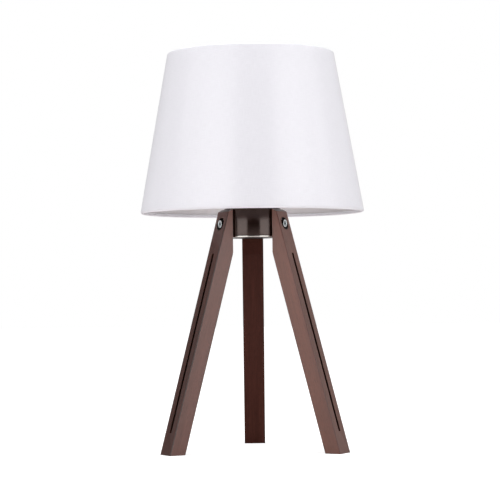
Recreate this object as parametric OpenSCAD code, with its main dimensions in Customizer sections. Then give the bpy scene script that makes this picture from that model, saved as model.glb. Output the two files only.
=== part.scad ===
// Tripod table lamp: three grooved wooden legs screwed to a round hub, with a
// screw lampholder on the hub and a tapered fabric shade clamped to it.
// Origin: on the floor, on the lamp's axis. +Z is up, the front is -Y.

/* [Tripod] */
// Height of the hub's lower edge above the floor
hub_base_z = 269; // [220:1:340]
// Distance from the lamp's axis to the outer edge of a foot
foot_radius = 127.4; // [112:0.2:160]
// Width of a leg across its outer face
leg_width = 27; // [22:0.5:32]
// Thickness of the leg stock, square to its outer face
leg_depth = 20.5; // [17:0.5:26]
// Thickness left at a leg's upper end
leg_tip = 6.2; // [5.4:0.1:8]
// Distance from the hub's top down to a leg's highest edge
leg_top_drop = 2; // [0:0.5:5]
// Fall of the slanted end cut from that edge to the outer face
leg_end_fall = 3; // [1:0.5:5]
// Width of the eased long edges
leg_arris = 0.8; // [0.3:0.1:1.5]

/* [Groove in each leg] */
// Width of the groove
groove_width = 4.5; // [3:0.1:8]
// Depth of the groove
groove_depth = 5; // [2:0.1:8]
// Height of the groove's lower end above the floor
groove_foot_gap = 27; // [10:1:60]
// Distance from the groove's upper end down from the screw's axis
groove_screw_gap = 37; // [24:1:60]
// Radius of the disc cutter, which leaves the run-out at both ends
groove_cutter_r = 40; // [25:1:60]

/* [Hub] */
// Diameter of the hub
hub_d = 72; // [66:1:84]
// Height of the hub
hub_h = 35; // [30:1:48]
// Thickness of the hub's side wall
hub_wall = 2; // [1.2:0.1:3]
// Thickness of the hub's top
hub_roof = 3; // [2:0.1:5]
// Radius of the hub's upper edge
hub_edge_r = 1.5; // [0.5:0.1:2]
// Height of the bright rim that shows under the hub
rim_h = 2.2; // [1.6:0.1:4]
// Width of the bright rim, seen from below
rim_width = 4.7; // [4:0.1:8]
// Thickness of the flange that holds the black plate
plate_t = 1.5; // [1:0.1:3]

/* [Leg screws] */
// Distance of the leg screws below the hub's top
screw_drop = 20; // [17:0.5:26]
// Thread diameter of the leg screws
screw_d = 6; // [5:0.5:7]
// Length of a leg screw under its head
screw_length = 16; // [14:1:20]
// Head diameter of a leg screw
screw_head_d = 10; // [9:0.1:11]
// Head height of a leg screw
screw_head_h = 6; // [4.5:0.1:7]
// Key size of the hexagon socket
screw_key = 5; // [3:0.1:6]
// Diameter of the washer under the head
washer_d = 12; // [11:0.1:14]
// Thickness of that washer
washer_t = 1.6; // [0.8:0.1:2.5]
// Diameter of the counterbore in the leg
counterbore_d = 15.5; // [14.5:0.1:18]
// Wood left between the counterbore and the hub
screw_seat_t = 3.8; // [2.5:0.1:5]
// Height of the nuts welded inside the hub
weld_nut_h = 5; // [4:0.1:6]
// Key size of those nuts
weld_nut_key = 10; // [9:0.1:12]

/* [Shade] */
// Diameter of the shade's lower edge
shade_bottom_d = 281; // [250:1:330]
// Diameter of the shade's upper edge
shade_top_d = 211; // [170:1:240]
// Height of the shade
shade_h = 202; // [180:1:240]
// Distance that the shade hangs below the hub's top
shade_drop = 6; // [0:0.5:12]
// Thickness of the fabric
fabric_t = 0.5; // [0.3:0.05:1]
// Thickness of the stiff liner
liner_t = 0.8; // [0.5:0.05:1.2]
// Diameter of the wire in the rolled edges
ring_wire_d = 3; // [2.4:0.1:4]
// Width of the liner's glued overlap
seam_width = 12; // [6:1:20]

/* [Shade carrier] */
// Diameter of the carrier arms
arm_d = 3.5; // [2.5:0.1:4.5]
// Bend radius of a carrier arm, at its middle line
arm_bend_r = 12; // [6:1:18]
// Outer diameter of the carrier's pressed ring
carrier_d = 56; // [52:0.5:62]
// Sheet thickness of the pressed ring
carrier_t = 1.5; // [1:0.1:2]
// Height of the pressed ring's rim, which is turned down over the collar
carrier_rim_h = 4; // [3:0.1:6]

/* [Lampholder] */
// Diameter of the lampholder's cap
cap_d = 38; // [36:0.5:42]
// Wall of the cap
cap_wall = 3; // [2.4:0.1:3.6]
// Diameter of the boss at the cap's foot
cap_boss_d = 22; // [18:0.5:26]
// Height of the thread in that boss
cap_boss_h = 8; // [6:0.5:10]
// Height of the joint between cap and body
joint_h = 6; // [4:0.5:8]
// Diameter of the collar that the shade carrier rests on
collar_d = 47; // [44:0.5:50]
// Height of the collar
collar_h = 4; // [2:0.5:6]
// Diameter of the threaded sleeve above the collar
sleeve_d = 39.2; // [38.6:0.1:40.4]
// Height of that sleeve
sleeve_h = 31; // [28:1:33]
// Height of the insulating block
block_h = 10; // [7:0.5:11]
// Outer diameter of the screw shell
shell_d = 28.2; // [27.8:0.1:28.8]
// Sheet thickness of the screw shell
shell_t = 0.4; // [0.2:0.1:0.6]
// Outer diameter of the clamp ring's flange
clamp_d = 51; // [48:0.5:52]
// Height of the clamp ring
clamp_h = 7; // [5:0.5:9]
// Outer diameter of the threaded tube in the hub
tube_d = 10; // [9:0.5:11]
// Bore of that tube
tube_bore = 7.6; // [6:0.2:8]

/* [Cord gland] */
// Bore of the gland, for the cord
gland_bore = 6.4; // [5:0.2:7.6]
// Thread diameter of the gland
gland_thread_d = 10; // [9:0.5:12]
// Diameter of the gland's flange
gland_flange_d = 17; // [15:0.5:22]
// Thickness of that flange, which lies sunk in the black plate
gland_flange_t = 2; // [1:0.1:2.4]

/* [Bulb] */
// Diameter of the bulb's glass
bulb_d = 60; // [50:1:66]
// Length of the whole bulb
bulb_length = 108; // [104:1:116]
// Length of the bulb's screw cap, with its tip
bulb_cap_length = 27; // [25:0.5:28]
// Outer diameter of the bulb's screw cap
bulb_cap_d = 26.4; // [26:0.1:26.6]
// Thickness of the glass
glass_t = 1; // [0.6:0.1:1.5]

/* [Hidden] */
$fn = 96;

// Clearances
slip = 0.1;    // between pieces that slide into each other by hand
thread = 0.05; // between a screw and its thread, on the radius
turn = 0.3;    // between faces of pieces that turn past each other
glue = 0.05;   // between layers that are glued together
over = 1;      // how far a cutting body runs past what it cuts
notch_gap = 0.5; // round a carrier arm where it passes the rolled edge

// Small parts
nut_key_over = 4;   // key size of a thin nut, over its thread's diameter
screw_head_over = 2; // head diameter of a small screw, over its thread's
slot_w = 0.8;       // width and depth of a small screw's slot

// Bearings of the legs and carrier arms, seen from above, counted from +X
front_left_bearing = 210;
front_right_bearing = 330;
back_bearing = 90;
bearings = [front_left_bearing, front_right_bearing, back_bearing];

// Hub
hub_r = hub_d / 2;
hub_top_z = hub_base_z + hub_h;
hub_inner_r = hub_r - hub_wall;
roof_z = hub_top_z - hub_roof;

// Leg: the outer face runs from the foot's edge to the end cut
leg_top_z = hub_top_z - leg_top_drop;
leg_end_z = leg_top_z - leg_end_fall;
leg_slope = atan((foot_radius - hub_r - leg_tip) / leg_end_z);
foot_inner_r = foot_radius - leg_depth / cos(leg_slope);
knee_z = (foot_inner_r - hub_r) / tan(leg_slope);

// Leg screws
screw_z = hub_top_z - screw_drop;
screw_seat_r = hub_r + screw_seat_t;
screw_head_r = screw_seat_r + washer_t;
socket_depth = screw_head_h / 2;
weld_nut_inner_r = hub_inner_r - weld_nut_h;

// Rim and plate under the hub
rim_step = 0.3;
rim_r = hub_r - rim_step;
rim_inner_r = rim_r - rim_width;
rim_bottom_z = hub_base_z - rim_h;
spigot_r = hub_inner_r - slip;
spigot_t = 1.6;
spigot_h = 4;
plate_dome = 0.4;
plate_bottom_z = rim_bottom_z - plate_dome;
gland_r = gland_thread_d / 2;
gland_chamfer = 0.6;
gland_nut_h = 4.5;
gland_thread_past = 1;

// Lampholder, from the hub's top upwards
dome_z = hub_top_z + cap_d / 2;
joint_z = dome_z + joint_h;
joint_r = cap_d / 2 - cap_wall / 2;
collar_z = joint_z + collar_h;
sleeve_top_z = collar_z + sleeve_h;
sleeve_r = sleeve_d / 2;
skirt_t = 3;
skirt_r = joint_r + skirt_t;
block_step = 0.6;
block_z = joint_z + block_h;
block_r = joint_r - block_step;
block_bore_r = 1.6;
throat_gap = 1;
throat_r = shell_d / 2 + throat_gap;
shell_sunk = 3;
shell_h = sleeve_top_z - block_z - shell_sunk;
shell_floor_r = 7;
contact_rise = 2;
lock_screw_d = 3;
lock_screw_rise = 2.2;
lock_screw_z = hub_top_z + lock_screw_rise;

// Threaded tube between hub and lampholder
tube_r = tube_d / 2;
tube_washer_t = 1;
tube_nut_h = 4;
tube_tail = 4;

// Terminals under the insulating block
terminal_size = [6, 5, 6];
terminal_x = 8;
terminal_roof = 1;
terminal_hole_r = 1.2;
terminal_hole_z = 4;
terminal_screw_d = 3;
terminal_screw_head_h = 1.6;
terminal_screw_length = 2.6;

// Shade carrier and clamp ring
carrier_z = collar_z + turn;
carrier_r = carrier_d / 2;
carrier_top_z = carrier_z + carrier_t;
arm_r = arm_d / 2;
arm_z = carrier_top_z - carrier_rim_h / 2;
clamp_z = carrier_top_z + turn;
clamp_flange_t = 2.5;
clamp_sleeve_t = 3;
clamp_ribs = 24;
clamp_rib_d = 2;

// Shade: both rolled edges are rounds of radius edge_r about centres that lie
// on a line along the shade's slant, and the walls run along that line
wire_r = ring_wire_d / 2;
edge_r = wire_r + liner_t + fabric_t;
shade_bottom_z = hub_top_z - shade_drop;
shade_top_z = shade_bottom_z + shade_h;
edge_bottom = [shade_bottom_d / 2 - edge_r, shade_bottom_z + edge_r];
edge_top = [shade_top_d / 2 - edge_r, shade_top_z - edge_r];
edge_run = edge_top - edge_bottom;
shade_taper = atan2(-edge_run.x, edge_run.y);
slant_length = norm(edge_run);
edge_sides = 12;
seam_bearing = 110;
seam_turn = seam_width / shade_bottom_d * 360 / PI;
seam_end_gap = 4;

// Carrier arm: it runs up the liner, bends and runs level to the ring
arm_inset = arm_r + turn - wire_r;
bend_z = arm_z - arm_bend_r;
bend_inset = arm_inset + arm_bend_r;
bend_along = (bend_z - edge_bottom.y + bend_inset * sin(shade_taper)) / cos(shade_taper);
bend_r = edge_bottom.x - bend_inset * cos(shade_taper) - bend_along * sin(shade_taper);
arm_bend_steps = 8;
arm_notch = arm_d + 2 * notch_gap;

// Bulb: a round top, a hollow curve down to the neck, and the screw cap
bulb_r = bulb_d / 2;
bulb_tip_z = block_z + contact_rise;
bulb_centre_z = bulb_tip_z + bulb_length - bulb_r;
bulb_cap_r = bulb_cap_d / 2;
bulb_cap_top_z = bulb_tip_z + bulb_cap_length;
neck_step = 0.3;
neck_r = bulb_cap_r + neck_step;
neck_arc_r = 35;
neck_arc_x = neck_r + neck_arc_r;
neck_arc_z = bulb_centre_z - sqrt(pow(bulb_r + neck_arc_r, 2) - pow(neck_arc_x, 2));
bulb_cap_t = 0.4;
bulb_cap_lap = 1;
bulb_crimp_h = 8;
bulb_button_h = 1.5;
bulb_button_r = 4.5;
bulb_button_foot_r = 3;
bulb_insulator_h = 3.5;
bulb_insulator_r = 10;

// --- Shapes used more than once ---

module at_each_bearing() {
    for (bearing = bearings)
        rotate([0, 0, bearing])
            children();
}

// A round bar along +X from x0 to x1
module bar_x(x0, x1, r) {
    translate([x0, 0, 0])
        rotate([0, 90, 0])
            cylinder(h = x1 - x0, r = r);
}

// A hexagonal bar along +X, key is its width across flats
module hex_bar_x(x0, x1, key) {
    translate([x0, 0, 0])
        rotate([0, 90, 0])
            cylinder(h = x1 - x0, d = key / cos(30), $fn = 6);
}

module ring(z, h, outer_r, inner_r) {
    translate([0, 0, z])
        difference() {
            cylinder(h = h, r = outer_r);
            translate([0, 0, -over])
                cylinder(h = h + 2 * over, r = inner_r);
        }
}

// A rectangle of the profile that is turned about the axis
module band(r0, r1, z0, z1) {
    translate([r0, z0])
        square([r1 - r0, z1 - z0]);
}

// A hexagon nut about the lamp's axis
module nut_z(z, h, key, bore_r) {
    translate([0, 0, z])
        difference() {
            cylinder(h = h, d = key / cos(30), $fn = 6);
            translate([0, 0, -over])
                cylinder(h = h + 2 * over, r = bore_r);
        }
}

// --- Tripod ---

// Profile of a leg in its own upright plane: x is the distance from the axis
module leg_profile() {
    polygon([
        [foot_inner_r, 0],
        [foot_radius, 0],
        [hub_r + leg_tip, leg_end_z],
        [hub_r, leg_top_z],
        [hub_r, knee_z]
    ]);
}

// Places what follows on the leg's outer face: +Z runs up it, +X points out of it
module on_outer_face() {
    translate([foot_radius, 0, 0])
        rotate([0, -leg_slope, 0])
            children();
}

// The sweep of a disc cutter: a slot with a round run-out at both ends
module groove_cut() {
    low = groove_foot_gap / cos(leg_slope);
    high = (screw_z - groove_screw_gap) / cos(leg_slope);
    run_out = sqrt(pow(groove_cutter_r, 2) - pow(groove_cutter_r - groove_depth, 2));
    on_outer_face() {
        translate([-groove_depth, -groove_width / 2, low + run_out])
            cube([groove_depth + over, groove_width, high - low - 2 * run_out]);
        for (end = [low + run_out, high - run_out])
            translate([groove_cutter_r - groove_depth, 0, end])
                rotate([90, 0, 0])
                    cylinder(h = groove_width, r = groove_cutter_r, center = true);
    }
}

// Flats on both long edges of a face
module arris_cuts(length) {
    flat = leg_arris * sqrt(2);
    for (side = [-1, 1])
        translate([0, side * leg_width / 2, length / 2])
            rotate([0, 0, 45])
                cube([flat, flat, length + 4 * over], center = true);
}

module leg(bearing) {
    outer_length = leg_end_z / cos(leg_slope);
    inner_length = knee_z / cos(leg_slope);
    color("#4c3631")
        rotate([0, 0, bearing])
            difference() {
                rotate([90, 0, 0])
                    linear_extrude(height = leg_width, center = true)
                        leg_profile();
                groove_cut();
                on_outer_face()
                    arris_cuts(outer_length);
                on_outer_face()
                    translate([-leg_depth, 0, 0])
                        arris_cuts(inner_length + leg_depth * tan(leg_slope));
                translate([0, 0, screw_z]) {
                    bar_x(screw_seat_r, foot_radius, counterbore_d / 2);
                    bar_x(0, foot_radius, screw_d / 2 + turn);
                }
            }
}

module leg_screws() {
    top_r = screw_head_r + screw_head_h;
    color("#b9bcbd")
        at_each_bearing()
            translate([0, 0, screw_z])
                difference() {
                    union() {
                        bar_x(screw_head_r, top_r, screw_head_d / 2);
                        bar_x(screw_head_r - screw_length, screw_head_r, screw_d / 2);
                    }
                    hex_bar_x(top_r - socket_depth, top_r + over, screw_key);
                }
}

module leg_washers() {
    color("#c9cccb")
        at_each_bearing()
            translate([0, 0, screw_z])
                difference() {
                    bar_x(screw_seat_r, screw_head_r, washer_d / 2);
                    bar_x(0, screw_head_r + over, screw_d / 2 + slip);
                }
}

module weld_nuts() {
    color("#9a9d9f")
        at_each_bearing()
            intersection() {
                translate([0, 0, screw_z])
                    difference() {
                        hex_bar_x(weld_nut_inner_r, hub_r, weld_nut_key);
                        bar_x(0, hub_r + over, screw_d / 2 + thread);
                    }
                cylinder(h = hub_top_z, r = hub_inner_r);
            }
}

// --- Hub ---

module hub() {
    color("#4a3d38")
        difference() {
            rotate_extrude()
                difference() {
                    union() {
                        band(0, hub_r, hub_base_z, hub_top_z - hub_edge_r);
                        band(0, hub_r - hub_edge_r, hub_base_z, hub_top_z);
                        translate([hub_r - hub_edge_r, hub_top_z - hub_edge_r])
                            circle(r = hub_edge_r);
                    }
                    band(0, hub_inner_r, hub_base_z - over, roof_z);
                    band(0, tube_r + slip, roof_z - over, hub_top_z + over);
                }
            at_each_bearing()
                translate([0, 0, screw_z])
                    bar_x(hub_inner_r - over, hub_r + over, screw_d / 2 + turn);
        }
}

module hub_rim() {
    edge = rim_h / 2;
    color("#dcdedd")
        rotate_extrude() {
            band(rim_inner_r, rim_r - edge, rim_bottom_z, hub_base_z);
            translate([rim_r - edge, rim_bottom_z + edge])
                circle(r = edge);
            band(spigot_r - spigot_t, spigot_r, hub_base_z - edge, hub_base_z + spigot_h);
        }
}

module hub_plate() {
    seat_r = spigot_r - spigot_t - slip;
    color("#161616")
        difference() {
            union() {
                translate([0, 0, rim_bottom_z])
                    cylinder(h = rim_h, r = rim_inner_r - slip);
                translate([0, 0, hub_base_z])
                    cylinder(h = plate_t, r = seat_r);
                translate([0, 0, plate_bottom_z])
                    cylinder(h = plate_dome, r1 = rim_inner_r / 2, r2 = rim_inner_r - slip);
            }
            translate([0, 0, plate_bottom_z - over])
                cylinder(h = over + gland_flange_t, r = gland_flange_d / 2 + slip);
            translate([0, 0, rim_bottom_z - over])
                cylinder(h = rim_h + plate_t + 2 * over, r = gland_r + slip);
        }
}

// A bush with a thread and a flange, which lies flush in the plate
module cord_gland() {
    flange_r = gland_flange_d / 2;
    edge_z = plate_bottom_z + gland_chamfer;
    thread_top_z = hub_base_z + plate_t + gland_nut_h + gland_thread_past;
    color("#101010")
        difference() {
            union() {
                translate([0, 0, plate_bottom_z])
                    cylinder(h = gland_chamfer, r1 = flange_r - gland_chamfer, r2 = flange_r);
                translate([0, 0, edge_z])
                    cylinder(h = gland_flange_t - gland_chamfer, r = flange_r);
                translate([0, 0, edge_z])
                    cylinder(h = thread_top_z - edge_z, r = gland_r);
            }
            translate([0, 0, plate_bottom_z - over])
                cylinder(h = hub_h, r = gland_bore / 2);
        }
}

module gland_nut() {
    color("#1b1b1b")
        nut_z(hub_base_z + plate_t, gland_nut_h, gland_thread_d + nut_key_over, gland_r + thread);
}

// --- Threaded tube between hub and lampholder ---

module threaded_tube() {
    tail_z = roof_z - tube_washer_t - tube_nut_h - tube_tail;
    color("#b8babb")
        ring(tail_z, hub_top_z + cap_boss_h - tail_z, tube_r, tube_bore / 2);
}

// A lock washer with teeth round its outside
module tube_washer() {
    teeth = 10;
    tooth_w = 1.8;
    tooth_root_r = tube_r + 1;
    web_r = tube_r + 2.2;
    tooth_tip_r = tube_r + 3.8;
    color("#a6a9aa")
        translate([0, 0, roof_z - tube_washer_t])
            difference() {
                union() {
                    cylinder(h = tube_washer_t, r = web_r);
                    for (i = [0 : teeth - 1])
                        rotate([0, 0, i * 360 / teeth])
                            translate([tooth_root_r, -tooth_w / 2, 0])
                                cube([tooth_tip_r - tooth_root_r, tooth_w, tube_washer_t]);
                }
                translate([0, 0, -over])
                    cylinder(h = tube_washer_t + 2 * over, r = tube_r + slip);
            }
}

module tube_nut() {
    color("#b0b3b4")
        nut_z(roof_z - tube_washer_t - tube_nut_h, tube_nut_h, tube_d + nut_key_over, tube_r + thread);
}

// --- Lampholder ---

// A dome with a threaded boss at its foot and a thinner rim that the body goes over
module holder_cap() {
    color("#1a1a1b")
        difference() {
            rotate_extrude()
                difference() {
                    union() {
                        band(0, cap_boss_d / 2, hub_top_z, dome_z);
                        intersection() {
                            translate([0, dome_z])
                                circle(d = cap_d);
                            band(0, cap_d / 2, hub_top_z, dome_z);
                        }
                        band(0, joint_r, dome_z - over, joint_z);
                    }
                    intersection() {
                        translate([0, dome_z])
                            circle(r = cap_d / 2 - cap_wall);
                        band(0, cap_d / 2, hub_top_z + cap_boss_h, dome_z);
                    }
                    band(0, cap_d / 2 - cap_wall, dome_z, joint_z + over);
                    band(0, tube_r + thread, hub_top_z - over, dome_z);
                }
            translate([0, 0, lock_screw_z])
                bar_x(0, cap_d / 2, lock_screw_d / 2 + thread);
        }
}

module cap_lock_screw() {
    color("#b8babb")
        translate([0, 0, lock_screw_z])
            difference() {
                bar_x(tube_r + slip, cap_boss_d / 2, lock_screw_d / 2);
                translate([cap_boss_d / 2 - slot_w, -lock_screw_d, -slot_w / 2])
                    cube([slot_w + over, 2 * lock_screw_d, slot_w]);
            }
}

module holder_body() {
    color("#1a1a1b")
        rotate_extrude()
            difference() {
                union() {
                    band(0, skirt_r, dome_z + turn, joint_z);
                    band(0, collar_d / 2, joint_z, collar_z);
                    band(0, sleeve_r, joint_z, sleeve_top_z);
                }
                band(0, joint_r + slip, dome_z, joint_z);
                band(0, block_r + slip, joint_z, block_z);
                band(0, throat_r, block_z - over, sleeve_top_z + over);
            }
}

module contact_block() {
    color("#e9e5da")
        ring(joint_z, block_h, block_r, block_bore_r);
}

// The shell's floor lies on the block and its middle is open for the centre contact
module screw_shell() {
    color("#c9a85a")
        rotate_extrude() {
            band(shell_d / 2 - shell_t, shell_d / 2, block_z, block_z + shell_h);
            band(shell_floor_r, shell_d / 2, block_z, block_z + shell_t);
        }
}

// An arched leaf whose crown meets the tip of the bulb
module centre_contact() {
    leaf_r = 9;
    leaf_t = 0.4;
    leaf_w = 5;
    crown_z = bulb_tip_z - turn;
    color("#d0a848")
        rotate([90, 0, 0])
            linear_extrude(height = leaf_w, center = true)
                intersection() {
                    translate([0, crown_z - leaf_r])
                        difference() {
                            circle(r = leaf_r);
                            circle(r = leaf_r - leaf_t);
                        }
                    translate([-leaf_r, block_z])
                        square([2 * leaf_r, leaf_r]);
                }
}

module terminals() {
    bore_h = terminal_size.z - terminal_roof;
    color("#c9a85a")
        for (side = [-1, 1])
            translate([side * terminal_x, 0, joint_z - terminal_size.z])
                difference() {
                    translate([-terminal_size.x / 2, -terminal_size.y / 2, 0])
                        cube(terminal_size);
                    translate([0, 0, -over])
                        cylinder(h = bore_h + over, r = terminal_screw_d / 2 + thread);
                    translate([0, 0, terminal_hole_z])
                        rotate([90, 0, 0])
                            cylinder(h = 2 * terminal_size.y, r = terminal_hole_r, center = true);
                }
}

module terminal_screws() {
    head_h = terminal_screw_head_h;
    color("#d7b765")
        for (side = [-1, 1])
            translate([side * terminal_x, 0, joint_z - terminal_size.z])
                difference() {
                    union() {
                        translate([0, 0, -head_h])
                            cylinder(h = head_h, d = terminal_screw_d + screw_head_over);
                        cylinder(h = terminal_screw_length, d = terminal_screw_d);
                    }
                    translate([-terminal_screw_d, -slot_w / 2, -head_h - over])
                        cube([2 * terminal_screw_d, slot_w, over + slot_w]);
                }
}

// The ring that screws down the sleeve onto the shade carrier
module clamp_ring() {
    bore_r = sleeve_r + thread;
    color("#1a1a1b")
        difference() {
            union() {
                translate([0, 0, clamp_z])
                    cylinder(h = clamp_flange_t, d = clamp_d - clamp_rib_d);
                translate([0, 0, clamp_z])
                    cylinder(h = clamp_h, r = bore_r + clamp_sleeve_t);
                for (i = [0 : clamp_ribs - 1])
                    rotate([0, 0, i * 360 / clamp_ribs])
                        translate([clamp_d / 2 - clamp_rib_d / 2, 0, clamp_z])
                            cylinder(h = clamp_flange_t, d = clamp_rib_d);
            }
            translate([0, 0, clamp_z - over])
                cylinder(h = clamp_h + 2 * over, r = bore_r);
        }
}

// --- Shade carrier ---

// A pressed ring whose rim is turned down round the lampholder's collar
module carrier_ring() {
    color("#ededeb")
        rotate_extrude() {
            band(sleeve_r + turn, carrier_r, carrier_z, carrier_top_z);
            band(carrier_r - carrier_t, carrier_r, carrier_top_z - carrier_rim_h, carrier_top_z);
        }
}

// Turns a profile that is drawn along the shade's slant into place:
// x = 0 is the line through both edge centres, y = 0 is the lower one
module along_slant() {
    translate(edge_bottom)
        rotate(shade_taper)
            children();
}

// The same for solids in a carrier arm's upright plane: +Z runs up the slant
module along_slant_3d() {
    translate([edge_bottom.x, 0, edge_bottom.y])
        rotate([0, -shade_taper, 0])
            children();
}

// Middle line of a carrier arm: each entry is [x, z, bearing of the wire]
function arm_route() = [
    [
        edge_bottom.x - arm_inset * cos(shade_taper),
        edge_bottom.y - arm_inset * sin(shade_taper),
        90 + shade_taper
    ],
    for (i = [0 : arm_bend_steps])
        let (angle = shade_taper + i * (90 - shade_taper) / arm_bend_steps)
            [bend_r + arm_bend_r * cos(angle), bend_z + arm_bend_r * sin(angle), 90 + angle],
    [carrier_r - carrier_t, arm_z, 180]
];

// A round wire along a route in the XZ plane
module wire(route, r) {
    sides = 16;
    last = len(route) - 1;
    points = [
        for (stop = route)
            for (k = [0 : sides - 1])
                let (out = r * cos(k * 360 / sides), across = r * sin(k * 360 / sides))
                    [stop.x + out * sin(stop.z), across, stop.y - out * cos(stop.z)]
    ];
    sleeve = [
        for (i = [0 : last - 1])
            for (k = [0 : sides - 1])
                let (a = i * sides + k, b = i * sides + (k + 1) % sides)
                    each [[a, b, b + sides], [a, b + sides, a + sides]]
    ];
    start_cap = [for (k = [1 : sides - 2]) [0, k + 1, k]];
    end_cap = [for (k = [1 : sides - 2]) [last * sides, last * sides + k, last * sides + k + 1]];
    polyhedron(points = points, faces = concat(sleeve, start_cap, end_cap));
}

// Three wires, welded to the pressed ring and coped over the lower wire ring
module carrier_arms() {
    color("#ededeb")
        difference() {
            at_each_bearing()
                wire(arm_route(), arm_r);
            cylinder(h = shade_top_z, r = carrier_r);
            wire_ring();
        }
}

// --- Shade ---

module wire_section(r) {
    translate([0, -liner_t])
        circle(r = r, $fn = edge_sides);
}

module wire_ring() {
    rotate_extrude()
        along_slant()
            wire_section(wire_r);
}

module shade_bottom_wire() {
    color("#e6e6e4")
        wire_ring();
}

// Draws a lower-edge profile at the upper edge
module at_top_edge() {
    translate([0, slant_length])
        mirror([0, 1])
            children();
}

module shade_top_wire() {
    color("#e6e6e4")
        rotate_extrude()
            along_slant()
                at_top_edge()
                    wire_section(wire_r);
}

// Fabric rolled round the liner's edge and the wire, and tucked in above the wire
module rolled_edge() {
    difference() {
        union() {
            intersection() {
                circle(r = edge_r, $fn = edge_sides);
                translate([0, -edge_r])
                    square([edge_r, edge_r]);
            }
            wire_section(wire_r + fabric_t);
        }
        wire_section(wire_r + glue);
        translate([wire_r, 0])
            square([liner_t, edge_r]);
    }
}

module shade_fabric() {
    color("#f4f3f6")
        difference() {
            rotate_extrude()
                along_slant() {
                    translate([wire_r + liner_t, 0])
                        square([fabric_t, slant_length]);
                    rolled_edge();
                    at_top_edge()
                        rolled_edge();
                }
            at_each_bearing()
                along_slant_3d()
                    translate([-arm_inset - arm_notch / 2, -arm_notch / 2, -turn])
                        cube([arm_notch, arm_notch, edge_r]);
        }
}

// The stiff inner cone, with the glued overlap of its two ends beside the back arm
module shade_liner() {
    color("#efeeee")
        union() {
            rotate_extrude()
                along_slant()
                    translate([wire_r + glue, 0])
                        square([liner_t - 2 * glue, slant_length]);
            rotate([0, 0, seam_bearing])
                rotate_extrude(angle = seam_turn)
                    along_slant()
                        translate([wire_r + glue - liner_t, seam_end_gap])
                            square([liner_t + glue, slant_length - 2 * seam_end_gap]);
        }
}

// --- Bulb ---

module bulb_outline(inset) {
    round_r = bulb_r - inset;
    share = round_r / (bulb_r + neck_arc_r);
    union() {
        intersection() {
            translate([0, bulb_centre_z])
                circle(r = round_r);
            band(0, bulb_r, bulb_centre_z - bulb_r, bulb_centre_z + bulb_r);
        }
        difference() {
            band(0, neck_arc_x * share, neck_arc_z, bulb_centre_z - (bulb_centre_z - neck_arc_z) * share);
            translate([neck_arc_x, neck_arc_z])
                circle(r = neck_arc_r + inset);
        }
        band(0, neck_r - inset, bulb_cap_top_z, neck_arc_z + over);
    }
}

module bulb_glass() {
    crimp_r = bulb_cap_r - bulb_cap_t - glue;
    color("#f2efe6")
        rotate_extrude() {
            difference() {
                bulb_outline(0);
                bulb_outline(glass_t);
            }
            band(crimp_r - glass_t, neck_r, bulb_cap_top_z, bulb_cap_top_z + glass_t);
            band(crimp_r - glass_t, crimp_r, bulb_cap_top_z - bulb_crimp_h, bulb_cap_top_z);
        }
}

module bulb_cap() {
    foot_z = bulb_tip_z + bulb_button_h + bulb_insulator_h;
    color("#c8cacb")
        rotate_extrude() {
            band(bulb_cap_r - bulb_cap_t, bulb_cap_r, foot_z, bulb_cap_top_z);
            band(bulb_insulator_r - bulb_cap_lap, bulb_cap_r, foot_z, foot_z + bulb_cap_t);
        }
}

module bulb_insulator() {
    color("#2a2623")
        translate([0, 0, bulb_tip_z + bulb_button_h])
            cylinder(h = bulb_insulator_h, r1 = bulb_button_r, r2 = bulb_insulator_r);
}

module bulb_tip() {
    color("#b9bbbc")
        translate([0, 0, bulb_tip_z])
            cylinder(h = bulb_button_h, r1 = bulb_button_foot_r, r2 = bulb_button_r);
}

leg(front_left_bearing);  // leg_front_left
leg(front_right_bearing);  // leg_front_right
leg(back_bearing);  // leg_back
leg_screws();
leg_washers();
weld_nuts();
hub();
hub_rim();
hub_plate();
cord_gland();
gland_nut();
threaded_tube();
tube_washer();
tube_nut();
holder_cap();
holder_body();
cap_lock_screw();
contact_block();
screw_shell();
centre_contact();
terminals();
terminal_screws();
clamp_ring();
carrier_ring();
carrier_arms();
shade_bottom_wire();
shade_top_wire();
shade_liner();
shade_fabric();
bulb_glass();
bulb_cap();
bulb_insulator();
bulb_tip();
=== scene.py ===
"""The looks of a tripod table lamp: finer pieces in place of the CAD nodes that show,
finishes for all of them, and the studio.

Lengths are in mm until a mesh is made, and then in metres. +Z is up and -Y is the front.
A bearing is an angle about the lamp's axis, in degrees, counted from +X.
"""
import math

import bmesh
import bpy
import numpy as np
from mathutils import Matrix, Vector


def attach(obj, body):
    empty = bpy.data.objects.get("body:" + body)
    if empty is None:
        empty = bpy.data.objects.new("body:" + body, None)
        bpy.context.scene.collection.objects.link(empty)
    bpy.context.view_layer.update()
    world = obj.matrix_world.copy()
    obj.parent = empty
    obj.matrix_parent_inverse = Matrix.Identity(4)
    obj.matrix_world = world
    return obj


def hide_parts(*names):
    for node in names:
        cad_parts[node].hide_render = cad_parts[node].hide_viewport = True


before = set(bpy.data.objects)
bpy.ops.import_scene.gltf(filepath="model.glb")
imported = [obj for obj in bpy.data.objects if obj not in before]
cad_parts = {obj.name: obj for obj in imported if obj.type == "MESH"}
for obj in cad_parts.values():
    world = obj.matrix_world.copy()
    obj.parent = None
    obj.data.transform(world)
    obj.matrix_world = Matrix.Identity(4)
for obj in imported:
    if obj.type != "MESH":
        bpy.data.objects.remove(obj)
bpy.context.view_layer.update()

MM = 0.001
TAU = 2 * math.pi
LEGS = {"front_left": 210, "front_right": 330, "back": 90}

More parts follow.
